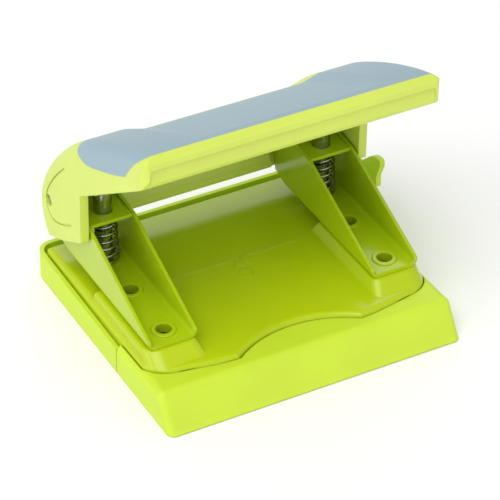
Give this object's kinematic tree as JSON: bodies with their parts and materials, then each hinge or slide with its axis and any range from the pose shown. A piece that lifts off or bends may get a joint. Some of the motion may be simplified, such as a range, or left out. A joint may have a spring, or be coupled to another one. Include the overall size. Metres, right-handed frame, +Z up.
{
  "type": "hole punch",
  "caption": "Two-hole desk paper punch with raised lever handle, soft grip, sprung punches in sheet brackets, chip tray with drawer and sliding paper guide.",
  "frame": {"origin": "on the resting surface under the middle of the chip tray", "axes": "+X to the right along the width, +Y towards the hinge side where paper goes in, +Z up"},
  "size_m": [0.1182, 0.097, 0.0907],
  "materials": {
    "tray_plastic": "fine moulded texture",
    "handle_plastic": "satin moulded",
    "plate_paint": "gloss paint",
    "bracket_paint": "gloss paint",
    "grip_rubber": "satin soft grip",
    "pin_steel": "ground steel",
    "spring_steel": "drawn wire",
    "foot_rubber": "matt"
  },
  "bodies": {
    "base": {"chip_tray": "tray_plastic", "rubber_feet": "foot_rubber", "base_plate": "plate_paint", "left_bracket": "bracket_paint", "right_bracket": "bracket_paint", "left_pin_guide": "bracket_paint", "right_pin_guide": "bracket_paint", "bracket_rivets": "bracket_paint", "hinge_axle": "pin_steel", "left_axle_clip": "spring_steel", "right_axle_clip": "spring_steel", "left_return_spring": "spring_steel", "right_return_spring": "spring_steel"},
    "lever": {"handle": "handle_plastic", "grip_pad": "grip_rubber"},
    "left_punch": {"left_punch_pin": "pin_steel", "left_retaining_ring": "spring_steel"},
    "right_punch": {"right_punch_pin": "pin_steel", "right_retaining_ring": "spring_steel"},
    "drawer": {"chip_drawer": "tray_plastic"},
    "guide": {"paper_guide": "tray_plastic"}
  },
  "joints": [
    {"name": "handle_press", "type": "hinge", "parent": "base", "child": "lever", "pos_m": [0, 0.0362, 0.0361], "axis": [1, 0, 0], "range_deg": [0, 26], "stiffness_Nm_per_rad": 0.32, "springref_deg": -34.38},
    {"name": "left_pin_slide", "type": "slide", "parent": "base", "child": "left_punch", "axis": [0, 0, -1], "range_m": [0, 0.0061], "deforming": ["left_return_spring"]},
    {"name": "right_pin_slide", "type": "slide", "parent": "base", "child": "right_punch", "axis": [0, 0, -1], "range_m": [0, 0.0061], "deforming": ["right_return_spring"]},
    {"name": "drawer_slide", "type": "slide", "parent": "base", "child": "drawer", "axis": [0, -1, 0], "range_m": [0, 0.06]},
    {"name": "guide_slide", "type": "slide", "parent": "base", "child": "guide", "axis": [1, 0, 0], "range_m": [-0.01, 0.055]}
  ],
  "couplings": [
    {"joint": "left_pin_slide", "follows": "handle_press", "m_per_rad": 0.01339},
    {"joint": "right_pin_slide", "follows": "handle_press", "m_per_rad": 0.01339}
  ]
}
